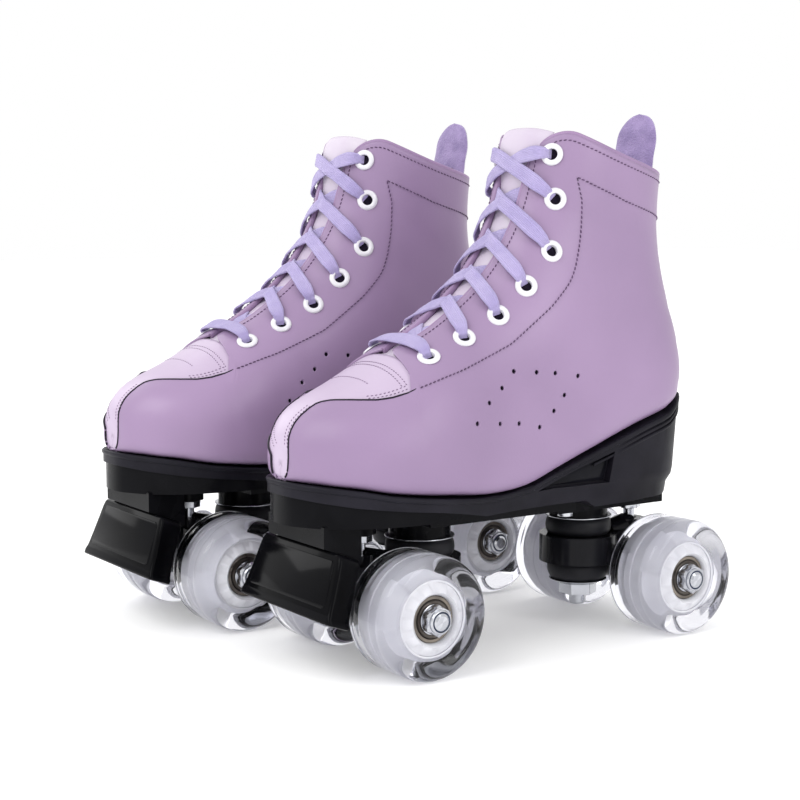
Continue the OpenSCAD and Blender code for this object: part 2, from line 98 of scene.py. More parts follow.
def wheel_matrix(side, end, row):
    out = ROWS[row]
    at = Matrix.Translation((out * WHEEL_X, AXLE_Y, WHEEL_R))
    return end_matrix(side, end) @ at @ Matrix.Rotation(out * math.pi / 2, 4, "Y")


# ---- the boot's skin, the same surface as the CAD upper ----

SECTIONS = [
    [-127.5, 105, -127.5, 90.5, 7, .45, 2.2, 2.6, 0],
    [-125.5, 113, -125.5, 90, 14, .42, 2.2, 3, 0],
    [-120.5, 120, -120.5, 89.5, 21.5, .38, 2.2, 3.5, 0],
    [-113, 125.5, -113, 88.5, 29.5, .35, 2.2, 4, 0],
    [-103, 130, -103, 87, 36, .33, 2.2, 4, 0],
    [-91, 135, -91, 84.5, 41, .32, 2.2, 4, 0],
    [-77.5, 142, -76, 82.5, 44, .32, 2.2, 4, 0],
    [-64.5, 149, -56, 80.5, 44.5, .34, 2.25, 3.8, 0],
    [-52, 155.5, -33, 79.5, 42, .38, 2.25, 3.4, 0],
    [-40.5, 163.5, -9, 82, 38.5, .42, 2.2, 3, 0],
    [-30, 172, 14, 90, 36.5, .46, 2.15, 2.8, 0],
    [-21, 181, 38, 99, 36, .5, 2.15, 2.6, 0],
    [-13.5, 190, 62, 107.5, 36, .52, 2.3, 2.5, 0],
    [-7.5, 199.5, 84, 114, 35, .53, 2.4, 2.4, 0],
    [-3.5, 208, 99, 122, 33.5, .53, 2.5, 2.3, 0],
    [-.5, 216.5, 103.5, 138, 32.5, .52, 2.55, 2.25, 0],
    [2, 225, 100, 156, 32, .5, 2.6, 2.2, 0],
    [4.5, 233, 94, 174, 32.5, .5, 2.6, 2.2, .5],
    [6.5, 241, 90, 191.5, 33, .5, 2.6, 2.2, 1.5],
    [8.5, 248, 88.5, 209.5, 33.5, .5, 2.6, 2.2, 2.5],
    [10.5, 254, 89.5, 228, 34, .5, 2.6, 2.2, 4]]
LAST = len(SECTIONS) - 1
THROAT_S = 6.7
EYELETS = [(18.2, 21.5), (16, 24), (13.6, 27), (11.7, 26.5), (10.2, 25), (8.7, 24), (7.2, 23.8)]
# The leather's foot is squarer and reaches lower than the CAD's, so that it meets the sole's edge
FOOT_SQUARE = [(0, 2.6), (1, 3.2), (2, 5), (3, 7), (13, 7), (14, 4), (15, 2.7), (16, 2.2)]
FOOT_DROP = [(0, 0), (7, 0), (9, 2), (11, 3.5), (13.8, 3.5), (15, 0)]
SOLE_DROP = [(-56, 0), (-9, 2), (38, 3.5)]
_sections = {}


def section(s):
    s = min(max(s, 0), LAST)
    if s not in _sections:
        i = min(int(s), LAST - 1)
        b, c = SECTIONS[i], SECTIONS[i + 1]
        a = SECTIONS[i - 1] if i > 0 else [2 * p - q for p, q in zip(b, c)]
        d = SECTIONS[i + 2] if i < LAST - 1 else [2 * q - p for p, q in zip(b, c)]
        f = s - i
        row = [(2 * q + (r - p) * f + (2 * p - 5 * q + 4 * r - t) * f * f
                + (3 * q - p - 3 * r + t) * f ** 3) / 2 for p, q, r, t in zip(a, b, c, d)]
        row[3] -= table(FOOT_DROP, s)
        row.append(max(row[7], table(FOOT_SQUARE, s)))
        _sections[s] = row
    return _sections[s]


def skin(s, a, t=0.0):
    """Point of the boot's skin at station s and angle a in degrees (0 is the ridge), depth t inside."""
    ty, tz, by, bz, half, wide, above, below, sag, square = section(s)
    ca, sa = math.cos(math.radians(a)), math.sin(math.radians(a))
    rise = abs(ca) ** (2 / (above if ca >= 0 else below))
    share = abs(sa) ** (2 / above) if ca >= 0 else max(0, 1 - rise ** square) ** (1 / square)
    x = (half - t) * math.copysign(share, sa)
    v = wide + (1 - wide) * rise if ca >= 0 else wide * (1 - rise)
    length = math.hypot(ty - by, tz - bz)
    uy, uz = (ty - by) / length, (tz - bz) / length
    along = t + v * (length - 2 * t)
    bow = sag * 4 * v * (1 - v)
    return Vector((x, by + uy * along - uz * bow + t * max(0, 1 - s / 5), bz + uz * along + uy * bow))


def angle_at(s, x):
    k = section(s)
    return math.degrees(math.asin(min(1, abs(x) / k[4]) ** (k[6] / 2)))


def outward(s, a):
    low, high = max(s - .1, 0), min(s + .1, LAST)
    n = (skin(high, a) - skin(low, a)).cross(skin(s, a + 1) - skin(s, a - 1))
    return -n.normalized() if n.length > 1e-9 else Vector((0, -1, 0))


def on_skin(s, a, h=0.0):
    return skin(s, a) + outward(s, a) * h


def unit(x):
    return min(1, max(0, x))


def table(rows, s):
    """Straight-line value at s in rows of (s, value)."""
    for (s0, v0), (s1, v1) in zip(rows, rows[1:]):
        if s <= s1:
            return v0 + (v1 - v0) * max(0, (s - s0) / (s1 - s0))
    return rows[-1][1]


def throat_half(s):
    return 5 + 7.5 * max(0, (s - THROAT_S) / (LAST - THROAT_S)) ** .6


def corner_s(s, off):
    """The collar's front corners, rounded down beside the throat."""
    if s <= 15 or off >= 38:
        return s
    return s - 2.2 * ((s - 15) / (LAST - 15)) ** 2 * (1 - off / 38) ** 2


# Front edge of the side panels, as (station, angle): up the toe, along the vamp, and in to the throat
TOE_EDGE = [(0, 128), (.06, 98), (.15, 72), (.3, 50), (.5, 36), (.8, 24), (1.2, 17), (1.6, 13), (2.1, 11),
            (2.6, 10.5), (3.05, 12), (3.3, 15), (3.65, 21), (4, 27.5), (4.35, 33), (4.9, 40), (5.4, 44),
            (5.9, 46), (6.2, 46)]
STRIP_WIDE = 24


def panel_start(s):
    if s <= 6.2:
        return table(TOE_EDGE, s)
    if s < THROAT_S:
        f = (s - 6.2) / (THROAT_S - 6.2)
        return 46 + (angle_at(THROAT_S, 5) - 46) * math.sin(f * math.pi / 2)
    return angle_at(s, throat_half(s))


# ---- mesh building ----

def turns(count):
    """Even angles round a full turn, in radians."""
    return [2 * math.pi * k / count for k in range(count)]


def polar(r, g, z):
    return Vector((r * math.cos(g), r * math.sin(g), z))


def heading(points, i):
    """Direction of a line of points at its point i."""
    return (points[min(i + 1, len(points) - 1)] - points[max(i - 1, 0)]).normalized()


def both_sides(half):
    """A half outline of (x, y) with its mirror image."""
    return half + [(-x, y) for x, y in half[::-1]]


class Part:
    """Vertices and faces in the left skate's millimetres."""

    def __init__(self):
        self.verts, self.faces, self.uvs = [], [], {}

    def grid(self, rows, wrap=False, loop=False, caps=False, uv=None):
        """Skin rows of points; wrap closes each row, loop joins the last row to the first."""
        base, n, count = len(self.verts), len(rows[0]), len(rows)
        for i, row in enumerate(rows):
            for j, p in enumerate(row):
                if uv:
                    self.uvs[len(self.verts)] = uv(i, j)
                self.verts.append(Vector(p))
        for i in range(count if loop else count - 1):
            here, ahead = base + i * n, base + (i + 1) % count * n
            for j in range(n if wrap else n - 1):
                k = (j + 1) % n
                self.faces.append([here + j, here + k, ahead + k, ahead + j])
        if caps:
            self.faces.append([base + j for j in range(n)][::-1])
            self.faces.append([base + (count - 1) * n + j for j in range(n)])
        return self

    def lathe(self, profile, n=48, closed=True, at=None):
        """Turn a list of (radius, z) about z; closed joins its end to its start."""
        rows = [[polar(r, g, z) for g in turns(n)] for r, z in profile]
        if at is not None:
            rows = [[at @ p for p in row] for row in rows]
        return self.grid(rows, wrap=True, loop=closed, caps=not closed)

    def tube(self, path, radius, sides=8):
        """A round tube along a path; radius is a number or one for each point."""
        radii = radius if isinstance(radius, list) else [radius] * len(path)
        rows = []
        for i, (p, r) in enumerate(zip(path, radii)):
            t = heading(path, i)
            u = t.cross(Vector((0, 0, 1)) if abs(t.z) < .9 else Vector((1, 0, 0))).normalized()
            w = t.cross(u)
            rows.append([p + (u * math.cos(g) + w * math.sin(g)) * r for g in turns(sides)])
        return self.grid(rows, wrap=True, caps=True)

    def ribbon(self, frames, profile, closed=False):
        """Sweep a closed profile of (side, up) along frames of (point, side, up)."""
        rows = [[p + u * a + w * b for a, b in profile] for p, u, w in frames]
        return self.grid(rows, wrap=True, loop=closed, caps=not closed)

    def plate(self, outline, z0, z1, at, round_off):
        """Extrude a flat outline of (x, y) with rims rounded by round_off, placed by a matrix."""
        cx = sum(p[0] for p in outline) / len(outline)
        cy = sum(p[1] for p in outline) / len(outline)

        def ring(inset, z):
            out = []
            for x, y in outline:
                d = math.hypot(x - cx, y - cy)
                k = max(0, 1 - inset / d)
                out.append(at @ Vector((cx + (x - cx) * k, cy + (y - cy) * k, z)))
            return out
        rim = [((1 - math.cos(a)) * round_off, (1 - math.sin(a)) * round_off) for a in (0, .5, 1, 1.5708)]
        foot = [(inset, z0 + rise) for inset, rise in rim]
        head = [(inset, z1 - rise) for inset, rise in rim]
        return self.grid([ring(i, z) for i, z in foot[::-1] + head], wrap=True, caps=True)


def emit(part, name, matrix, body, mat, node, sharp=40.0, fix=True, solidify=None, shape=None):
    """Make the object, let it ride on its body, and hide the CAD node it stands for.

    solidify is the (thickness, offset) of an open sheet; shape works on the mesh in millimetres."""
    mesh = bpy.data.meshes.new(name)
    mesh.from_pydata(part.verts, [], part.faces)
    mesh.materials.append(mat)
    if part.uvs:
        layer = mesh.uv_layers.new(name="UVMap")
        for loop in mesh.loops:
            layer.data[loop.index].uv = part.uvs.get(loop.vertex_index, (0, 0))
    bm = bmesh.new()
    bm.from_mesh(mesh)
    if shape:
        shape(bm)
    bmesh.ops.transform(bm, matrix=Matrix.Scale(MM, 4) @ matrix, verts=bm.verts)
    if fix:
        bmesh.ops.recalc_face_normals(bm, faces=bm.faces)
    elif matrix.determinant() < 0:
        bmesh.ops.reverse_faces(bm, faces=bm.faces)
    for face in bm.faces:
        face.smooth = True
    for edge in bm.edges:
        edge.smooth = len(edge.link_faces) != 2 or edge.calc_face_angle(0) < math.radians(sharp)
    bm.to_mesh(mesh)
    bm.free()
    obj = bpy.data.objects.new(name, mesh)
    bpy.context.collection.objects.link(obj)
    if solidify:
        sheet = obj.modifiers.new("Solidify", "SOLIDIFY")
        sheet.thickness, sheet.offset = solidify[0] * MM, solidify[1]
    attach(obj, body)
    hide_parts(node)
    return obj


def refine(node, mat, width, body, segments=2, shape=None):
    """A finer copy of a CAD node: flat faces joined up and every hard edge rounded."""
    mesh = bpy.data.objects[node].data.copy()
    bm = bmesh.new()
    bm.from_mesh(mesh)
    bmesh.ops.remove_doubles(bm, verts=bm.verts, dist=2e-6)
    bmesh.ops.dissolve_limit(bm, angle_limit=math.radians(.4), verts=bm.verts, edges=bm.edges)
    if shape:
        shape(bm)
    for face in bm.faces:
        face.smooth = True
        face.material_index = 0
    for edge in bm.edges:
        edge.smooth = True
    bm.to_mesh(mesh)
    bm.free()
    mesh.materials.clear()
    mesh.materials.append(mat)
    obj = bpy.data.objects.new(node + "_fine", mesh)
    bpy.context.collection.objects.link(obj)
    bevel = obj.modifiers.new("Bevel", "BEVEL")
    bevel.width = width * MM
    bevel.segments = segments
    bevel.limit_method = "ANGLE"
    bevel.angle_limit = math.radians(28)
    bevel.use_clamp_overlap = True
    obj.modifiers.new("Normals", "WEIGHTED_NORMAL")
    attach(obj, body)
    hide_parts(node)


def path_on_skin(points, h, spacing):
    """Even points along a line of (station, angle) on the skin, h above it."""
    fine = []
    for (s0, a0), (s1, a1) in zip(points, points[1:]):
        for k in range(12):
            fine.append((s0 + (s1 - s0) * k / 12, a0 + (a1 - a0) * k / 12))
    fine.append(points[-1])
    spots = [on_skin(s, a, h) for s, a in fine]
    total = [0]
    for p, q in zip(spots, spots[1:]):
        total.append(total[-1] + (q - p).length)
    count = max(2, round(total[-1] / spacing))
    out, k = [], 0
    for i in range(count + 1):
        want = total[-1] * i / count
        while k < len(total) - 2 and total[k + 1] < want:
            k += 1
        f = (want - total[k]) / max(1e-9, total[k + 1] - total[k])
        s = fine[k][0] + (fine[k + 1][0] - fine[k][0]) * f
        a = fine[k][1] + (fine[k + 1][1] - fine[k][1]) * f
        out.append((spots[k].lerp(spots[k + 1], f), outward(s, a)))
    return out


def stitch_row(part, points, pitch=2.3, length=1.65, radius=.34, h=.12):
    """A row of thread stitches lying on the skin, each one a short swelling bead."""
    spots = path_on_skin(points, h, pitch)
    for (p, n), (q, _) in zip(spots, spots[1:]):
        along = (q - p).normalized()
        twist = n.cross(along) * .16
        mid = (p + q) / 2
        start, end = mid - along * length / 2 - twist, mid + along * length / 2 + twist
        path = [start.lerp(end, f) - n * (.25 * (2 * f - 1) ** 2) for f in (0, .18, .5, .82, 1)]
        part.tube(path, [radius * k for k in (.35, .85, 1, .85, .35)], sides=6)


# ---- materials ----

def material(name, color, rough, metallic=0.0, coat=0.0, coat_rough=.08, sheen=0.0, spec=.5,
             transmission=0.0, ior=1.5, grain=None, fine=None, vary=None, rough_vary=0.0, weave=None,
             wear=None, scratch=None):
    """A node material: colour with slow variation, roughness variation, and bump from grain or weave.

    vary is (scale, other colour), grain and fine are (scale, strength, distance), weave is
    (threads along, threads across, strength, share along) and scratch is (stretch, strength)."""
    mat = bpy.data.materials.new(name)
    mat.use_nodes = True
    nodes, links = mat.node_tree.nodes, mat.node_tree.links
    shader = nodes["Principled BSDF"]
    shader.inputs["Base Color"].default_value = (*color, 1)
    for socket, value in (("Roughness", rough), ("Metallic", metallic), ("Coat Weight", coat),
                          ("Coat Roughness", coat_rough), ("Sheen Weight", sheen), ("IOR", ior),
                          ("Specular IOR Level", spec), ("Transmission Weight", transmission)):
        shader.inputs[socket].default_value = value
    if sheen:
        shader.inputs["Sheen Roughness"].default_value = .4
    place = nodes.new("ShaderNodeTexCoord")

    def add(kind, sources, numbers):
        node = nodes.new("ShaderNode" + kind)
        for socket, number in numbers.items():
            node.inputs[socket].default_value = number
        for socket, source in sources.items():
            links.new(source, node.inputs[socket])
        return node

    def noise(scale, detail, vector=place.outputs["Object"]):
        return add("TexNoise", {"Vector": vector}, {"Scale": scale, "Detail": detail}).outputs["Fac"]

    def blend(factor, first, second):
        node = nodes.new("ShaderNodeMix")
        node.data_type = "RGBA"
        links.new(factor, node.inputs[0])
        for socket, value in ((6, first), (7, second)):
            if isinstance(value, tuple):
                node.inputs[socket].default_value = (*value, 1)
            else:
                links.new(value, node.inputs[socket])
        return node.outputs[2]

    def ramp(value, low, high, to_low=0.0, to_high=1.0):
        numbers = {"From Min": low, "From Max": high, "To Min": to_low, "To Max": to_high}
        return add("MapRange", {"Value": value}, numbers).outputs["Result"]

    def bump(height, strength, distance, before):
        sources = {"Height": height} if before is None else {"Height": height, "Normal": before}
        return add("Bump", sources, {"Strength": strength, "Distance": distance}).outputs["Normal"]

    colour = None
    if vary:
        scale, other = vary
        colour = blend(ramp(noise(scale, 3), .35, .65), tuple(color), tuple(other))
    if weave:
        # Threads from the piece's own UV map: u runs along the strip and v across it
        waves = []
        for axis, count in (("X", weave[0]), ("Y", weave[1])):
            wave = add("TexWave", {"Vector": place.outputs["UV"]},
                       {"Scale": count, "Distortion": .6, "Detail": 1, "Detail Scale": 3})
            wave.bands_direction = axis
            waves.append(wave.outputs["Fac"])
        both = add("Math", {0: waves[0], 2: waves[1]}, {1: weave[3]})
        both.operation = "MULTIPLY_ADD"
        threads = both.outputs["Value"]
        colour = blend(ramp(threads, 0, 1.3, 0, .55), colour or tuple(color), tuple(c * .62 for c in color))
    if wear:
        edges = nodes.new("ShaderNodeNewGeometry").outputs["Pointiness"]
        colour = blend(ramp(edges, .52, .62, 0, .5), colour or tuple(color), tuple(wear))
    if colour is not None:
        links.new(colour, shader.inputs["Base Color"])
    if rough_vary:
        links.new(ramp(noise(35, 6), .3, .7, max(0, rough - rough_vary), rough + rough_vary),
                  shader.inputs["Roughness"])
    normal = None
    if weave:
        normal = bump(threads, weave[2], .0004, normal)
    if grain:
        cells = add("TexVoronoi", {"Vector": place.outputs["Object"]}, {"Scale": grain[0]})
        normal = bump(cells.outputs["Distance"], grain[1], grain[2], normal)
    if fine:
        normal = bump(noise(fine[0], 6), fine[1], fine[2], normal)
    if scratch:
        lines = add("Mapping", {"Vector": place.outputs["Object"]}, {"Scale": scratch[0]})
        normal = bump(noise(60, 5, lines.outputs["Vector"]), scratch[1], .0002, normal)
    if normal is not None:
        links.new(normal, shader.inputs["Normal"])
    return mat


LEATHER = material("lilac_leather", (.32, .223, .365), .38, spec=.3, coat=.08, coat_rough=.32,
                   vary=(9, (.26, .18, .30)), rough_vary=.05, grain=(900, .10, .0002),
                   fine=(420, .10, .0003))
VAMP_LEATHER = material("pale_leather", (.50, .41, .54), .4, spec=.3, coat=.06, coat_rough=.32,
                        vary=(16, (.45, .36, .49)), rough_vary=.05, grain=(900, .10, .0002),
                        fine=(420, .10, .0003))
BINDING = material("binding_leather", (.31, .205, .35), .44, spec=.3, vary=(40, (.27, .18, .31)),
                   rough_vary=.06, grain=(1100, .16, .0002))
EDGE_PAINT = material("edge_paint", (.008, .005, .012), .4, spec=.2, vary=(90, (.014, .010, .02)),
                      fine=(700, .2, .0002), rough_vary=.08)
THREAD = material("thread", (.055, .02, .07), .6, sheen=.2, vary=(300, (.10, .045, .125)),
                  fine=(2400, .4, .0002))
PALE_THREAD = material("pale_thread", (.13, .08, .15), .6, sheen=.2, vary=(300, (.2, .13, .23)),
                       fine=(2400, .4, .0002))
LINING = material("lining_fabric", (.56, .45, .58), .85, sheen=.3, vary=(60, (.48, .38, .50)),
                  grain=(2200, .35, .0003), fine=(1500, .3, .0003))
TONGUE = material("tongue_leather", (.56, .51, .58), .5, spec=.3, sheen=.1, vary=(22, (.49, .41, .53)),
                  rough_vary=.06, grain=(1000, .14, .0002), fine=(300, .12, .0004))
LACE = material("lace_weave", (.56, .475, .82), .72, sheen=.3, vary=(120, (.46, .385, .73)),
                weave=(34, 3.2, .7, .35), fine=(1800, .25, .0002))
SUEDE = material("tab_suede", (.335, .255, .475), .93, sheen=.6, vary=(130, (.25, .19, .38)),
                 fine=(700, .7, .0006), grain=(1300, .4, .0004))
EYELET = material("eyelet_enamel", (.74, .73, .76), .2, coat=.5, coat_rough=.08, rough_vary=.05,
                  vary=(150, (.66, .65, .69)), fine=(300, .04, .0002))
HOLE = material("hole_shadow", (.006, .004, .010), .9, spec=.1, vary=(400, (.012, .008, .018)),
                fine=(900, .3, .0002))
SOLE = material("sole_rubber", (.007, .0065, .010), .45, spec=.1, rough_vary=.07,
                vary=(30, (.014, .013, .019)), fine=(900, .16, .0003), wear=(.02, .02, .026))
GLOSS_SOLE = material("recess_gloss", (.003, .003, .004), .14, spec=.06, coat=.02, coat_rough=.05,
                      rough_vary=.04, vary=(40, (.007, .007, .010)), fine=(260, .04, .0003))
PLATE = material("plate_nylon", (.002, .002, .003), .28, spec=.05, coat=.01, coat_rough=.12,
                 rough_vary=.08, vary=(40, (.004, .004, .005)), fine=(500, .06, .0003),
                 wear=(.010, .010, .012))
TOE = material("toe_rubber", (.0015, .0015, .002), .12, spec=.04, coat=.015, coat_rough=.05, rough_vary=.04,
               vary=(30, (.003, .003, .004)), fine=(120, .03, .0004), wear=(.008, .008, .010))
TRUCK = material("truck_enamel", (.003, .003, .004), .16, spec=.1, coat=.05, coat_rough=.06, rough_vary=.05,
                 vary=(45, (.006, .006, .008)), fine=(420, .05, .0003), wear=(.02, .02, .023))
STEEL = material("zinc_steel", (.52, .53, .56), .24, metallic=1, rough_vary=.09,
                 vary=(70, (.38, .39, .43)), scratch=((1, 1, 9), .12), wear=(.68, .69, .72))
DARK_STEEL = material("bearing_steel", (.24, .21, .18), .3, metallic=1, rough_vary=.1,
                      vary=(90, (.13, .115, .10)), scratch=((1, 1, 6), .15))
SHIELD = material("bearing_shield", (.11, .10, .09), .38, metallic=1, rough_vary=.1,
                  vary=(120, (.06, .05, .045)), fine=(900, .1, .0002))
NYLON_RING = material("nylon_ring", (.010, .022, .055), .35, spec=.3, rough_vary=.06,
                      vary=(200, (.02, .035, .08)), fine=(900, .1, .0002))
RUBBER = material("cushion_rubber", (.006, .006, .008), .5, spec=.15, rough_vary=.1,
                  vary=(60, (.014, .014, .017)), fine=(1100, .2, .0003))
CLEAR = material("clear_urethane", (.93, .93, .975), .06, transmission=1, ior=1.34, spec=.5,
                 rough_vary=.03, vary=(25, (.90, .90, .955)), fine=(60, .03, .0006))
FROST = material("frosted_hub", (.86, .86, .91), .38, transmission=.2, spec=.4, rough_vary=.08,
                 vary=(55, (.76, .76, .82)), fine=(500, .12, .0003))


# ---- the boot ----

def panel_stations():
    rows = [k * .25 for k in range(0, 12)] + [.06, .15, .38] + [3 + k * .25 for k in range(13)]
    rows += [6.25 + .05 * k for k in range(1, 9)] + [6.7] + [6.8 + k * .2 for k in range(67)]
    return sorted({round(s, 3) for s in rows if s <= LAST} | {float(LAST)})


def punch(bm, holes):
    """Cut round holes of (centre, radius) into a fine grid, with smooth rims."""
    for centre, radius in holes:
        near = [f for f in bm.faces if (f.calc_center_median() - centre).length < radius + 3]
        edges = {e for f in near for e in f.edges}
        cuts = 2 if radius > 2 else 4
        bmesh.ops.subdivide_edges(bm, edges=list(edges), cuts=cuts, use_grid_fill=True)
        gone = [f for f in bm.faces if (f.calc_center_median() - centre).length < radius]
        rim = {v for f in gone for v in f.verts}
        bmesh.ops.delete(bm, geom=gone, context="FACES")
        for v in rim:
            if v.is_valid and v.link_faces:
                d = v.co - centre
                v.co = centre + d.normalized() * (radius + .02 * radius)


PERFORATIONS = [(9.55, 72), (10.2, 82), (10.7, 90), (11.25, 97), (8.95, 74), (8.35, 76), (7.75, 82),
                (8.5, 88), (9.1, 92), (9.65, 102), (10.2, 101), (10.65, 99)]
EYESTAY = [(6.3, 47), (6.9, 48.5), (7.35, 49.5), (7.85, 51), (8.45, 53), (8.95, 55), (9.55, 58), (9.9, 60),
           (10.8, 62), (11.85, 65), (13.05, 66), (14.5, 64.5), (15.4, 64), (16.75, 63), (17.7, 58)]
BAND = [(17.7, 58), (17.85, 70), (18, 80), (18.3, 96), (18.5, 110), (18.65, 124), (18.75, 140), (18.8, 180)]


def overlay_rise(s, a):
    """How far the eyestay and collar band stand above the quarter under them."""
    if s < 6.3:
        return 0
    if s <= BAND[0][0]:
        inside = table(EYESTAY, s) - a
    else:
        line = table([(q, p) for p, q in BAND], a)
        inside = 9 if s > line else (s - line) * 20
    return .32 * unit(.5 + inside / 1.6)


def make_upper(side, matrix, body):
    stations = panel_stations()
    cols = 168

    def start(s, edge):
        """Edge angle on one side; the toe strip is wider on the pair's right-hand side."""
        a = panel_start(s)
        if s > 4.2:
            return a
        if edge * SIDES[side] > 0:
            return a + 4.8 * unit((3.6 - s) / 1.2)
        return max(a, angle_at(s, min(STRIP_WIDE, .96 * section(s)[4])))
    rows = []
    for s in stations:
        a0, a1 = start(s, 1), start(s, -1)
        row = []
        for j in range(cols + 1):
            f = j / cols
            f = f - .055 * math.sin(2 * math.pi * f)
            a = a0 + (360 - a1 - a0) * f
            off = min(a - a0, 360 - a1 - a)
            s_here = corner_s(s, off) if s > 15 else s
            folded = a if a <= 180 else 360 - a
            row.append(on_skin(s_here, a, overlay_rise(s_here, folded) - .05))
        rows.append(row)
    holes = [(on_skin(s, way * a), 1.15) for s, a in PERFORATIONS for way in (1, -1)]
    holes += [(on_skin(s, way * angle_at(s, x)), 3.3) for s, x in EYELETS for way in (1, -1)]
    emit(Part().grid(rows), side + "_side_panels", matrix, body, LEATHER, side + "_upper",
         sharp=50, fix=False, solidify=(1.3, -1), shape=lambda bm: punch(bm, holes))

    # The pale toe strip and vamp under the panels
    tip = [on_skin(0, -180 + 6 * k) + Vector((0, .75, 0)) for k in range(61)]
    centre = sum(tip, Vector()) / len(tip)
    cap = [[centre.lerp(p, f) for p in tip] for f in (.004, .4, .75)]
    vamp_stations = [s for s in stations if 0 < s <= 6.1] + [6.2, 6.3, 6.4, 6.5]
    body_rows = [tip]
    for s in vamp_stations:
        a, b = min(180, start(s, 1) + 14), min(180, start(s, -1) + 14)
        if s < .6:
            a = b = max(a, b, 180 - 200 * s)
        body_rows.append([on_skin(s, -b + (a + b) * k / 60, -.75) for k in range(61)])
    vamp = Part().grid(cap + body_rows)
    emit(vamp, side + "_vamp", matrix, body, VAMP_LEATHER, side + "_upper",
         fix=False, solidify=(1.0, -1))

    # Painted edge of the side panels along the strip
    edge = Part()
    for way in (1, -1):
        fine = [k * .04 for k in range(0, 156)]
        pts = [(s, way * start(s, way)) for s in fine]
        path = [p for p, n in path_on_skin(pts, -.12, 1.2)]
        n = len(path)
        radii = [.5 * min(1, .35 + 6 * (1 - i / n)) for i in range(n)]
        edge.tube(path, radii, sides=8)
    emit(edge, side + "_painted_edge", matrix, body, EDGE_PAINT, side + "_upper")

    # Folded binding along the throat, round the collar and back down the throat
    left = [(corner_s(s, 0), angle_at(s, throat_half(s))) for s in [6.75 + .25 * k for k in range(53)]]
    a_top = angle_at(LAST, throat_half(LAST))
    around = [a_top + (360 - 2 * a_top) * k / 150 for k in range(151)]
    top = [(corner_s(LAST, min(a - a_top, 360 - a_top - a)), a) for a in around]
    right = [(s, 360 - a) for s, a in left][::-1]
    line = left + top[1:-1] + right
    frames = []
    pts = [skin(s, a, 1.2) for s, a in line]
    for i, (s, a) in enumerate(line):
        t = heading(pts, i)
        n = outward(s, a)
        n = (n - t * n.dot(t)).normalized()
        frames.append((pts[i], n.cross(t).normalized(), n))
    shape = []
    for g in turns(14):
        shape.append((1.25 * math.copysign(abs(math.cos(g)) ** .8, math.cos(g)) + .5,
                      1.5 * math.copysign(abs(math.sin(g)) ** .8, math.sin(g))))
    binding = Part().ribbon(frames, shape)
    emit(binding, side + "_collar_binding", matrix, body, BINDING, side + "_upper",
         sharp=80)

    # Stitching
    rows = Part()
    throat = [(s, angle_at(s, throat_half(s) + 3.4)) for s in [7 + .5 * k for k in range(24)]]
    collar = []
    for a in [*range(34, 179, 4), 179.6]:
        inset = 3.2 / (skin(LAST, a) - skin(LAST - 1, a)).length
        collar.append((corner_s(LAST, max(0, a - a_top)) - inset, a))
    for points in (EYESTAY, BAND[:-1] + [(18.8, 179.6)], throat, collar):
        for way in (1, -1):
            stitch_row(rows, [(s, way * a) for s, a in points], h=.42)
    emit(rows, side + "_stitching", matrix, body, THREAD, side + "_upper", sharp=80)

    faint = Part()
    for way in (1, -1):
        for inset in (2.1, 4.4):
            pts = []
            for k in range(5, 58):
                s = .05 * k
                row = section(s)
                x = row[4] * math.sin(math.radians(start(s, way))) ** (2 / row[6]) - inset
                pts.append((s, way * math.copysign(angle_at(s, abs(x)), x)))
            stitch_row(faint, pts, pitch=1.7, length=1.1, radius=.2, h=-.65)
        for lift in (0, 2.2):
            pts = [(s, way * (start(s, way) - 3.4 - lift * 1.3)) for s in (4.7, 4.9, 5.2, 5.5, 5.8, 6)]
            stitch_row(faint, pts, pitch=1.9, length=1.2, radius=.22, h=-.6)
    for s, reach in ((6.02, 41), (5.86, 39), (5.12, 22)):
        stitch_row(faint, [(s - .0001 * abs(a), a) for a in range(-reach, reach + 1, 3)], pitch=1.9,
                   length=1.15, radius=.22, h=-.6)
    emit(faint, side + "_vamp_stitching", matrix, body, PALE_THREAD, side + "_upper",
         sharp=80)

    # Dark plugs of shadow behind the punched holes
    plugs = Part()
    for s, a in PERFORATIONS:
        for way in (1, -1):
            plugs.lathe([(0.01, -1.9), (1.5, -1.9), (1.5, -1.35), (0.6, -1.1), (0.01, -1.05)], 12,
                        at=skin_frame(s, way * a))
    emit(plugs, side + "_perforations", matrix, body, HOLE, side + "_upper")


def skin_frame(s, a, h=0.0, spin=0.0):
    """Matrix whose z stands on the skin at (s, a)."""
    n = outward(s, a)
    turn = Vector((0, 0, 1)).rotation_difference(n).to_matrix().to_4x4()
    return Matrix.Translation(on_skin(s, a, h)) @ turn @ Matrix.Rotation(spin, 4, "Z")


def make_eyelets(side, matrix, body):
    part = Part()
    ring = [(2.75, -2.6), (2.75, .55), (2.95, .95), (3.5, 1.2), (4.3, 1.12), (5.1, .72), (5.5, .2),
            (5.45, .02), (3.25, -.1), (3.2, -2.6)]
    holes = Part()
    for s, x in EYELETS:
        for way in (1, -1):
            at = skin_frame(s, way * angle_at(s, x), .2)
            part.lathe(ring, 32, at=at)
            holes.lathe([(.01, -1.75), (2.74, -1.75), (2.74, -1.55), (.01, -1.35)], 20, at=at)
    emit(part, side + "_eyelet_rings", matrix, body, EYELET, side + "_eyelets", sharp=60)
    emit(holes, side + "_eyelet_shadows", matrix, body, HOLE, side + "_eyelets")


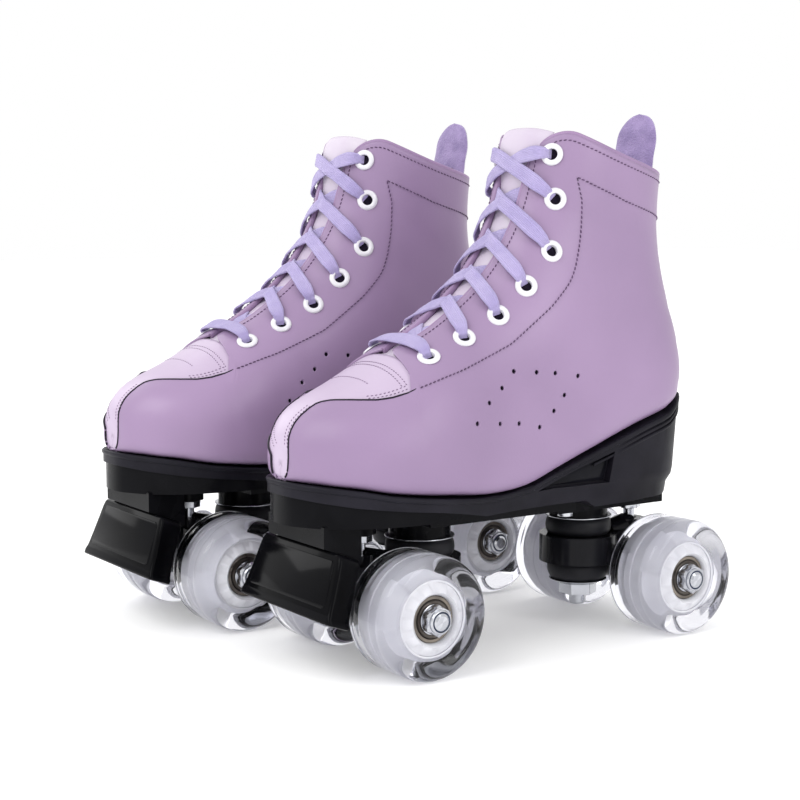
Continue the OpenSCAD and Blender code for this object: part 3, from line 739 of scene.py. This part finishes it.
def make_lining(side, matrix, body):
    rows = []
    for s in [1.2, 1.8, 2.4, 3, 3.6, 4.2, 4.8, 5.4, 5.7] + [6 + .25 * k for k in range(57)]:
        s = min(s, LAST)
        gap = angle_at(s, 24) if s > 5.7 else 0.5
        rows.append([skin(corner_s(s, min(a - gap, 360 - gap - a)), a, 1.65)
                     for a in [gap + (360 - 2 * gap) * j / 96 for j in range(97)]])
    part = Part().grid(rows)
    obj = emit(part, side + "_lining_fabric", matrix, body, LINING, side + "_lining",
               fix=False, solidify=(2.9, -1))

    # Insole on the boot's floor
    rows = []
    for k in range(40):
        f = k / 39
        s = 1.4 + 11.2 * f
        row = []
        for j in range(17):
            x = -1 + 2 * j / 16
            a = 180 - 57 * x
            p = skin(s, a, 6.2)
            row.append(Vector((p.x * .99, p.y, skin(s, 180, 5.2).z + 2.2 * abs(x) ** 3)))
        rows.append(row)
    part = Part().grid(rows)
    emit(part, side + "_insole", matrix, body, LINING, side + "_lining",
         solidify=(1.8, 0))


TONGUE_DEPTH = 4.6


def tongue_roll(s):
    """How far the tongue's top rolls forward out of the throat."""
    proud = unit((s - 15.5) / 2.5)
    return 3.2 * proud * proud * (3 - 2 * proud)


def make_tongue(side, matrix, body):
    rows = []
    top = LAST - .25
    for s in [6.35 + (top - 6.35) * k / 90 for k in range(91)]:
        half = angle_at(s, 20.5 if s > 7.5 else 14 + 6 * (s - 6.3) / 1.2)
        ends = min(1, (top + .03 - s) / .5) ** .5
        low = min(1, (s - 6.25) / .6) ** .5
        quilt = .35 * abs(math.sin((s - 6.3) * 1.9))
        front, back = [], []
        for j in range(29):
            u = -1 + 2 * j / 28
            side_fall = max(0, 1 - abs(u) ** 5) ** .5
            lift = (1.6 + quilt) * side_fall * ends * low
            n = outward(s, u * half)
            base = skin(s, u * half, TONGUE_DEPTH) + n * tongue_roll(s)
            front.append(base + n * lift)
            back.append(base - n * (1.5 * side_fall * ends * low))
        rows.append(front + back[::-1][1:-1])
    part = Part().grid(rows, wrap=True, caps=True)
    obj = emit(part, side + "_tongue_pad", matrix, body, TONGUE, side + "_tongue",
               sharp=100)
    trim = Part()
    line = []
    for k in range(40):
        s = 16.2 + (top - .2 - 16.2) * k / 39
        a = -SIDES[side] * angle_at(s, 19.6)
        line.append(skin(s, a, TONGUE_DEPTH) + outward(s, a) * (tongue_roll(s) + .9))
    trim.tube(line, .4, sides=6)
    emit(trim, side + "_tongue_edging", matrix, body, EDGE_PAINT, side + "_tongue")


LACE_SHAPE = [(-1, 0), (-.97, .38), (-.82, .62), (-.5, .66), (-.22, .56), (0, .62), (.22, .56), (.5, .66),
              (.82, .62), (.97, .38), (1, 0), (.97, -.38), (.82, -.55), (.4, -.6), (0, -.6), (-.4, -.6),
              (-.82, -.55), (-.97, -.38)]


def lace(part, path, widths, twist):
    """A flat woven lace along points of (position, outward): its width and roll vary on the way."""
    rows = []
    travelled = 0
    spots = [p for p, _ in path]
    for i, (p, n) in enumerate(path):
        ahead = heading(spots, i)
        across = ahead.cross(n).normalized()
        up = across.cross(ahead).normalized()
        roll = math.radians(twist[i])
        c, s = math.cos(roll), math.sin(roll)
        across, up = across * c + up * s, up * c - across * s
        if i:
            travelled += (p - spots[i - 1]).length
        w = widths[i]
        thick = .95 * (1 + .7 * (1 - w / 4))
        rows.append(([p + across * (x * w) + up * (y * thick) for x, y in LACE_SHAPE], travelled))
    count = len(LACE_SHAPE)
    part.grid([r for r, _ in rows], wrap=True, caps=True,
              uv=lambda i, j: (rows[i][1] * .1, j / count * 2))


def share_of(k, steps):
    """Share of a strand's length at point k, with the points closest together at its ends."""
    u = k / steps
    return u - .75 * math.sin(2 * math.pi * u) / (2 * math.pi)


def strand_path(s0, x0, s1, x1, heights, steps=44):
    """Points across the throat from (s0, x0) to (s1, x1), with heights as rows of (share, height)."""
    out = []
    for k in range(steps + 1):
        f = share_of(k, steps)
        s = s0 + (s1 - s0) * f
        x = x0 + (x1 - x0) * f
        a = math.copysign(angle_at(s, abs(x)), x)
        g = 0
        for (f0, h0), (f1, h1) in zip(heights, heights[1:]):
            if f0 <= f <= f1:
                e = (f - f0) / (f1 - f0)
                g = h0 + (h1 - h0) * (e * e * (3 - 2 * e))
        n = outward(s, a)
        out.append((skin(s, a) + n * g, n))
    return out


def make_laces(side, matrix, body):
    part = Part()
    over = SIDES[side]
    last = len(EYELETS) - 1
    for i in range(last, 0, -1):
        for way in (1, -1):
            on_top = way == over
            s0, x0 = EYELETS[i]
            s1, x1 = EYELETS[i - 1]
            bump = 1.9 if on_top else .35
            wobble = 1 + .25 * math.sin(i * 2.1 + way)
            if i == last:
                s0, x0 = s0 + .3, throat_half(s0) + 3
                heights = [(0, -2.1), (.35, -1.2), (.5, -1.0 if on_top else -2.0), (.65, -1.2), (1, -2.1)]
                x1, s1 = throat_half(s1) + 3, s1 - .2
            elif i == 1:
                x0, x1 = x0 - .8, x1 - .8
                heights = [(0, -1.7), (.03, .9), (.06, 2.7), (.1, 3.1), (.25, 2.4), (.5, 1.4 + bump),
                           (.75, 2.4), (.9, 3.1), (.94, 2.7), (.97, .9), (1, -1.7)]
            else:
                s1 = s0 + (s1 - s0) * .88
                x0, x1 = x0 - .8, throat_half(s1) + 3.2
                heights = [(0, -1.7), (.03, .9), (.065, 2.7), (.11, 3.1), (.22, 2.5), (.38, 1.6),
                           (.56, .6 + bump), (.78, -.6), (1, -2.15)]
            path = strand_path(s0, way * x0, s1, -way * x1, heights)
            n = len(path) - 1
            widths, twist = [], []
            for k in range(n + 1):
                f = share_of(k, n)
                enter = unit((f - .03) / .11) if i != last else 1
                leave = unit((.97 - f) / .11) if i == 1 else 1
                w = 2.5 + 1.5 * min(enter, leave) ** .7
                widths.append(w * (1 - .12 * math.sin(math.pi * f) * wobble))
                twist.append(way * 10 * math.sin(2 * math.pi * f + i) * math.sin(math.pi * f))
            lace(part, path, widths, twist)
    s, x = EYELETS[last]
    heights = [(0, -1.7), (.03, .9), (.065, 2.7), (.11, 3.1), (.5, 2.3), (.89, 3.1), (.935, 2.7), (.97, .9),
               (1, -1.7)]
    path = strand_path(s, x - .8, s, .8 - x, heights)
    n = len(path) - 1
    shares = [share_of(k, n) for k in range(n + 1)]
    widths = [2.5 + 1.5 * min(1, max(0, min(f, 1 - f) - .03) / .11) ** .7 for f in shares]
    lace(part, path, widths, [6 * math.sin(6 * f) for f in shares])
    emit(part, side + "_lace_strands", matrix, body, LACE, side + "_laces", sharp=70)


def make_tab(side, matrix, body):
    at = Matrix.Translation((0, 78.4, 212)) @ Matrix.Rotation(math.radians(80), 4, "X")
    outer = []
    for k in range(61):
        u = 50 * k / 60
        half = 9 + 6 * unit((u - 13) / 3.5) if u < 35 else math.sqrt(max(0, 225 - (u - 35) ** 2))
        outer.append((max(half, .05), u))
    rows = []
    for half, u in outer:
        row = []
        for j in range(48):
            v = -1 + min(j, 48 - j) / 12
            bow = .54 * (1 - v * v) * math.sin(math.pi * min(1, u / 50))
            edge = (1.1 if j <= 24 else -1.1) * (1 - .45 * abs(v) ** 8)
            row.append(at @ Vector((half * v, u, -1.2 + bow + .15 * math.sin(u * .5) + edge)))
        rows.append(row)
    part = Part().grid(rows, wrap=True, caps=True)
    emit(part, side + "_tab_loop", matrix, body, SUEDE, side + "_pull_tab", sharp=75)
    seam = Part()
    for k in range(13):
        x = -6 + k
        p = at @ Vector((x - .35, 24, .75))
        q = at @ Vector((x + .35, 24, .75))
        seam.tube([p, (p + q) / 2 + Vector((0, -.05, 0)), q], [.16, .26, .16], sides=6)
    emit(seam, side + "_tab_stitching", matrix, body, THREAD, side + "_pull_tab", sharp=80)


# ---- sole, plate and toe stop ----

SOLE_PLAN = [(-128.5, 5), (-127.2, 11), (-123.5, 18), (-117.5, 25.5), (-109, 32), (-98, 37), (-84, 40.5),
             (-68, 42), (-52, 41), (-34, 37.5), (-14, 33.5), (8, 31.5), (34, 31.5), (60, 32.5), (74, 32)]


def feather_z(y):
    line = sorted((row[2], row[3]) for row in SECTIONS[:15])
    return table(line, y) - table(SOLE_DROP, y)


def sole_line(grow, y_from=-200.0):
    """Closed outline of the sole seen from above, or its heel part back from y_from."""
    right = [(w + grow, y - (grow if y < -120 else 0)) for y, w in SOLE_PLAN if y >= y_from]
    turn = [(math.cos(math.radians(a)) * (32 + grow), 74 + math.sin(math.radians(a)) * (32 + grow))
            for a in range(6, 180, 6)]
    return right + turn + [(-x, y) for x, y in right[::-1]]


def rib(part, grow, drop, half_h, half_t, y_from=-200.0):
    """A rounded rib round the sole, drop millimetres under the upper's edge."""
    line = sole_line(grow, y_from)
    fine = []
    closed = y_from < -150
    count = len(line)
    for i in range(count if closed else count - 1):
        (x0, y0), (x1, y1) = line[i], line[(i + 1) % count]
        steps = max(1, int(math.hypot(x1 - x0, y1 - y0) / 3))
        for k in range(steps):
            fine.append((x0 + (x1 - x0) * k / steps, y0 + (y1 - y0) * k / steps))
    if not closed:
        fine.append(line[-1])
    pts = [Vector((x, y, feather_z(min(y, 99)) - drop)) for x, y in fine]
    frames = []
    n = len(pts)
    for i, p in enumerate(pts):
        q = pts[(i + 1) % n] if closed or i + 1 < n else p
        o = pts[i - 1] if closed or i > 0 else p
        t = (q - o).normalized()
        out = t.cross(Vector((0, 0, 1))).normalized()
        sink = 0
        if not closed:
            sink = max(0, 1 - min(i, n - 1 - i) / 6) * 1.4
        frames.append((p - out * sink, out, Vector((0, 0, 1))))
    shape = [(half_t * (1 if math.cos(g) > 0 else 1.6) * math.cos(g), half_h * math.sin(g))
             for g in turns(12)]
    part.ribbon(frames, shape, closed=closed)


HEEL_TAPER = [(66, 6.5), (73, 5.5), (77, 3), (80, 2.4), (118, 0)]


def shape_sole(bm, matrix):
    """Lower the sole's top edge along the heel and taper the heel block towards the floor."""
    for z in (73, 77, 80):
        bmesh.ops.bisect_plane(bm, geom=bm.verts[:] + bm.edges[:] + bm.faces[:], dist=1e-6,
                               plane_co=(0, 0, z * MM), plane_no=(0, 0, 1))
    back = matrix.inverted()
    for v in bm.verts:
        p = back @ (v.co / MM)
        drop = table(SOLE_DROP, p.y)
        depth = feather_z(min(p.y, 99)) + drop - p.z
        z = p.z - drop * unit(1 - depth / 9)
        if p.y > 50:
            share = min(1, (p.y - 50) / 24) * table(HEEL_TAPER, p.z) / 32
            p.x -= p.x * share
            p.y -= max(0, p.y - 74) * share
        p.z = z
        v.co = matrix @ p * MM


def make_sole(side, matrix, body):
    refine(side + "_outsole", SOLE, .9, body, 3, lambda bm: shape_sole(bm, matrix))
    welt = Part()
    rib(welt, -.05, 1.5, 1.3, .75)
    rib(welt, -.05, 4.6, .8, .45, 12)
    rib(welt, -.05, 7.0, .7, .4, 20)
    emit(welt, side + "_welt", matrix, body, SOLE, side + "_outsole", sharp=70)
    gloss = Part()
    corners = [(0, 79.4), (19.6, 79), (41.4, 79.1), (44.2, 91.6), (22.4, 86)]
    for way in (1, -1):
        sideways = Matrix(((0, 0, way, 0), (1, 0, 0, 0), (0, 1, 0, 0), (0, 0, 0, 1)))
        at = Matrix.Translation((way * 28.6, 0, 0)) @ sideways
        gloss.plate(corners, -.6, .35, at, round_off=.3)
    emit(gloss, side + "_sole_windows", matrix, body, GLOSS_SOLE, side + "_outsole")
    refine(side + "_plate", PLATE, .8, body)
    for word, width in (("_plate_screws", .35), ("_kingpins", .35), ("_kingpin_washers", .3)):
        refine(side + word, STEEL, width, body)


def toe_matrix():
    tilt = Matrix.Rotation(math.radians(-110), 4, "X")
    return Matrix.Translation((0, -116, 60)) @ tilt @ Matrix.Translation((0, 14, 12))


def make_toe_stop(side, matrix, body):
    at = toe_matrix()
    # Half outline down the pad: slanting sides, a flared foot and rounded corners
    half = [(31.5, -14), (33, -13.7), (34.3, -12.6), (35.2, -10.5), (36.3, -3), (37.6, 5), (38.9, 12),
            (39.9, 14.6), (40.8, 16), (40.7, 17.1), (39.6, 17.5)]
    part = Part().plate(both_sides(half), -12, 0, at, round_off=1.6)
    emit(part, side + "_toe_stop_pad", matrix, body, TOE, side + "_toe_stop", sharp=50)
    trim = Part()
    panel = [(29.5, -10.5), (31.5, -9), (34.2, 9.2), (33.4, 10.8), (31.4, 11.3)]
    trim.plate(both_sides(panel), -12.35, -11, at, round_off=.45)
    lip = [(38.2, 13.2), (39.2, 15.2), (38.4, 16.6)]
    trim.plate(both_sides(lip), -12.3, -11, at, round_off=.4)
    emit(trim, side + "_toe_stop_face", matrix, body, TOE, side + "_toe_stop", sharp=50)


# ---- trucks and wheels ----

KINGPIN_Y = 49.7
BORE = 5.4


def make_end(side, end):
    skate, truck = side + "_skate", f"{side}_{end}_truck_set"
    name = f"{side}_{end}"
    matrix = end_matrix(side, end)
    refine(name + "_truck", TRUCK, 1.1, truck, 3)
    refine(name + "_pivot_pin", STEEL, .35, skate)

    # Cushions: a bulging ring on each side of the truck's ring
    pin = Matrix.Translation((0, KINGPIN_Y, 0))
    upper = [(BORE, 47.15), (13.6, 47.1), (15.9, 47.6), (16.7, 49.2), (16.9, 51.4), (16.6, 53.8),
             (15.6, 55.7), (13.8, 56.1), (BORE, 56.1)]
    lower = [(BORE, 32.85), (13.2, 32.9), (15.2, 32.3), (15.9, 30.8), (15.7, 28), (15, 25.5), (13.9, 23.9),
             (12.6, 23.6), (BORE, 23.6)]
    for word, profile, near, far in (("upper", upper, 56.1, 47.1), ("lower", lower, 23.6, 32.9)):
        part = Part().lathe(profile, 56, at=pin)
        collar_z = (45, 43) if word == "upper" else (35, 37)
        z0 = 47.2 if word == "upper" else 32.8
        neck = [(BORE, z0), (7.6, z0), (7.4, collar_z[0]), (7, collar_z[1]), (BORE, collar_z[1])]
        part.lathe(neck, 40, at=pin)
        obj = emit(part, f"{name}_{word}_cushion", matrix, skate, RUBBER,
                   name + "_cushions", sharp=55)
        obj.parent = None
        del obj["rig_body"]
        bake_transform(obj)

    # Axle with spacers, washers, nuts and nylon collars
    part = Part()
    across = Matrix.Translation((0, AXLE_Y, WHEEL_R)) @ Matrix.Rotation(math.pi / 2, 4, "Y")
    part.lathe([(.01, -58.9), (2.9, -58.9), (4, -58.1), (4, 58.1), (2.9, 58.9), (.01, 58.9)], 32, at=across,
               closed=False)
    plastic = Part()
    for way in (1, -1):
        out = across @ Matrix.Rotation(math.pi if way < 0 else 0, 4, "X")
        part.lathe([(4.1, 33.1), (6, 33.1), (6, 44.1), (4.1, 44.1)], 32, at=out)
        part.lathe([(4.1, 51.25), (6.7, 51.25), (7, 51.4), (7, 51.75), (6.7, 51.9), (4.1, 51.9)], 40, at=out)
        # Hex nut with chamfered corners
        rows = []
        for r, z in ((4.1, 51.95), (5.9, 51.95), (7.5, 52.9), (7.5, 56), (6.2, 56.8), (5.5, 56.8)):
            row = []
            for g in turns(48):
                flat = 7.5 * math.cos(math.pi / 6) / math.cos((g % (math.pi / 3)) - math.pi / 6)
                rr = min(r * (1 if r < 6.3 else flat / 7.5), flat)
                row.append(out @ polar(rr, g, z))
            rows.append(row)
        part.grid(rows, wrap=True)
        part.lathe([(4.6, 56.5), (5.6, 56.5), (5.6, 57.5), (5.2, 58), (4.8, 58.1), (4.6, 57.8)], 40, at=out)
        plastic.lathe([(4.05, 56.2), (4.65, 56.2), (4.65, 57.75), (4.4, 58), (4.05, 57.9)], 40, at=out)
    emit(part, name + "_axle_set", matrix, truck, STEEL, name + "_axle", sharp=35)
    emit(plastic, name + "_nylon_rings", matrix, truck, NYLON_RING, name + "_axle", sharp=50)

    # Bearings: inner and outer rings with a sunk shield on each face
    rings, shields = Part(), Part()
    for way in (1, -1):
        for x in (26, 44.2):
            at = across @ Matrix.Translation((0, 0, way * (x + 3.5)))
            rings.lathe([(9.3, -3.5), (10.6, -3.5), (10.88, -3.2), (10.88, 3.2), (10.6, 3.5), (9.3, 3.5),
                         (9.2, 3.2), (9.2, -3.2)], 56, at=at)
            rings.lathe([(4.1, -3.5), (6, -3.5), (6.2, -3.2), (6.2, 3.2), (6, 3.5), (4.1, 3.5)], 48, at=at)
            for face in (1, -1):
                dish = [(6.15, .5), (7.2, .25), (7.6, .55), (8.6, .5), (9, .2), (9.25, .45), (9.25, 1),
                        (6.15, 1)]
                shields.lathe([(r, (3.5 - sunk) * face) for r, sunk in dish], 56, at=at)
    emit(rings, name + "_bearing_rings", matrix, truck, DARK_STEEL, name + "_bearings",
         sharp=40)
    emit(shields, name + "_bearing_shields", matrix, truck, SHIELD, name + "_bearings",
         sharp=40)


def tyre_profile():
    """Half section from the face's inner lip over the rounded shoulder to the tread's middle."""
    corner = 5
    face = [(17.05, 12), (19, 13.6), (21.5, 15.4), (23.4, 16)]
    slopes = [math.radians(a) for a in range(84, -1, -7)]
    arc = [(24 + corner * math.cos(g), 11 + corner * math.sin(g)) for g in slopes]
    groove = [(29, 9.6), (28.86, 9.3), (28.72, 9), (28.86, 8.7), (29, 8.4), (29, 4)]
    return face + arc + groove


def make_wheel(side, end, row):
    name = f"{side}_{end}_{row}"
    body = name + "_wheel"
    matrix = wheel_matrix(side, end, row)
    half = tyre_profile()
    profile = half + [(r, -z) for r, z in half[::-1]] + [(17.05, 0)]
    emit(Part().lathe(profile, 128), name + "_clear_tyre", matrix, body, CLEAR,
         name + "_tyre", sharp=60)

    # Frosted core cast into the tyre: a drum with notched lobes on both faces
    rows = []
    drum = [(18.2, 12.8), (19.4, 12.2), (20, 11.4), (21.6, 7), (22, 6.4), (22, 2.4), (21.4, 2)]
    for base, z in [(r, -z) for r, z in drum] + drum[::-1]:
        ring = []
        for g in turns(180):
            lobe = 1 / (1 + math.exp(-9 * math.cos(3 * g + (.5 if z > 0 else 1.4))))
            notch = 4.6 * (1 - lobe) if abs(z) > 6.5 and base > 18.6 else 0
            ring.append(polar(max(base - notch * (1 if abs(z) > 7.5 else .35), 17.6), g, z))
        rows.append(ring)
    inner = [[polar(17.1, g, z) for g in turns(180)] for z in (12.4, 0, -12.4)]
    emit(Part().grid(rows + inner, wrap=True, loop=True), name + "_core", matrix, body, FROST,
         name + "_hub", sharp=50)

    # Hub seat for the bearings, with pockets round its face
    rows = []
    seat = [(11.05, 5.45), (11.05, 12.7), (11.6, 14.2), (12.6, 15), (13.6, 14.7), (15.5, 13.2), (16.98, 12)]
    for r, z in seat + [(r, -z) for r, z in seat[::-1]] + [(9.1, -5.45), (9.1, 5.45)]:
        ring = []
        for g in turns(120):
            pocket = .9 if abs(z) in (14.7, 13.2) and math.cos(10 * g) > .35 else 0
            ring.append(polar(r, g, z - math.copysign(pocket, z)))
        rows.append(ring)
    emit(Part().grid(rows, wrap=True, loop=True), name + "_hub_seat", matrix, body, FROST,
         name + "_hub", sharp=35)


# ---- assembly ----

for skate_side in SIDES:
    for make in (make_upper, make_eyelets, make_lining, make_tongue, make_laces, make_tab, make_sole,
                 make_toe_stop):
        make(skate_side, skate_matrix(skate_side), skate_side + "_skate")
    for skate_end in ENDS:
        make_end(skate_side, skate_end)
        for wheel_row in ROWS:
            make_wheel(skate_side, skate_end, wheel_row)

# ---- floor, light and camera ----

floor_paint = material("floor_paint", (.93, .93, .93), .7, vary=(3, (.92, .92, .92)), fine=(40, .02, .001))
glow = floor_paint.node_tree.nodes["Principled BSDF"]
glow.inputs["Emission Color"].default_value = (1, 1, 1, 1)
glow.inputs["Emission Strength"].default_value = .2
bpy.ops.mesh.primitive_grid_add(x_subdivisions=2, y_subdivisions=2, size=12, location=(0, 0, 0))
floor = bpy.context.object
floor.name = "studio_floor"
floor.data.materials.append(floor_paint)

world = bpy.context.scene.world or bpy.data.worlds.new("world")
bpy.context.scene.world = world
world.use_nodes = True
background = world.node_tree.nodes["Background"]
background.inputs["Color"].default_value = (1, 1, 1, 1)
background.inputs["Strength"].default_value = 1


def area_light(name, place, aim, size, power, color=(1, 1, 1)):
    data = bpy.data.lights.new(name, "AREA")
    data.shape = "RECTANGLE"
    data.size, data.size_y = size
    data.energy = power
    data.color = color
    lamp = bpy.data.objects.new(name, data)
    lamp.location = place
    lamp.rotation_euler = (Vector(place) - Vector(aim)).to_track_quat("Z", "Y").to_euler()
    bpy.context.collection.objects.link(lamp)


centre = Vector((0, 0, .12))
area_light("key_light", (.25, -1.3, 1.35), centre, (1.2, .9), 14)
area_light("side_light", (1.5, .35, .75), centre, (.5, 1.1), 6)
area_light("fill_light", (-1.4, -.4, .9), centre, (1, 1), 6)

azimuth, elevation, distance = math.radians(56.05), math.radians(6.46), .8756
target = Vector((0, .0053, .1138))
back = Vector((math.sin(azimuth) * math.cos(elevation), -math.cos(azimuth) * math.cos(elevation),
               math.sin(elevation)))
camera = bpy.data.objects.new("camera", bpy.data.cameras.new("camera"))
camera.data.lens = 75.6
camera.data.sensor_width = 36
camera.location = target + back * distance
camera.rotation_euler = back.to_track_quat("Z", "Y").to_euler()
bpy.context.collection.objects.link(camera)
bpy.context.scene.camera = camera
bpy.context.scene.view_settings.view_transform = "Standard"
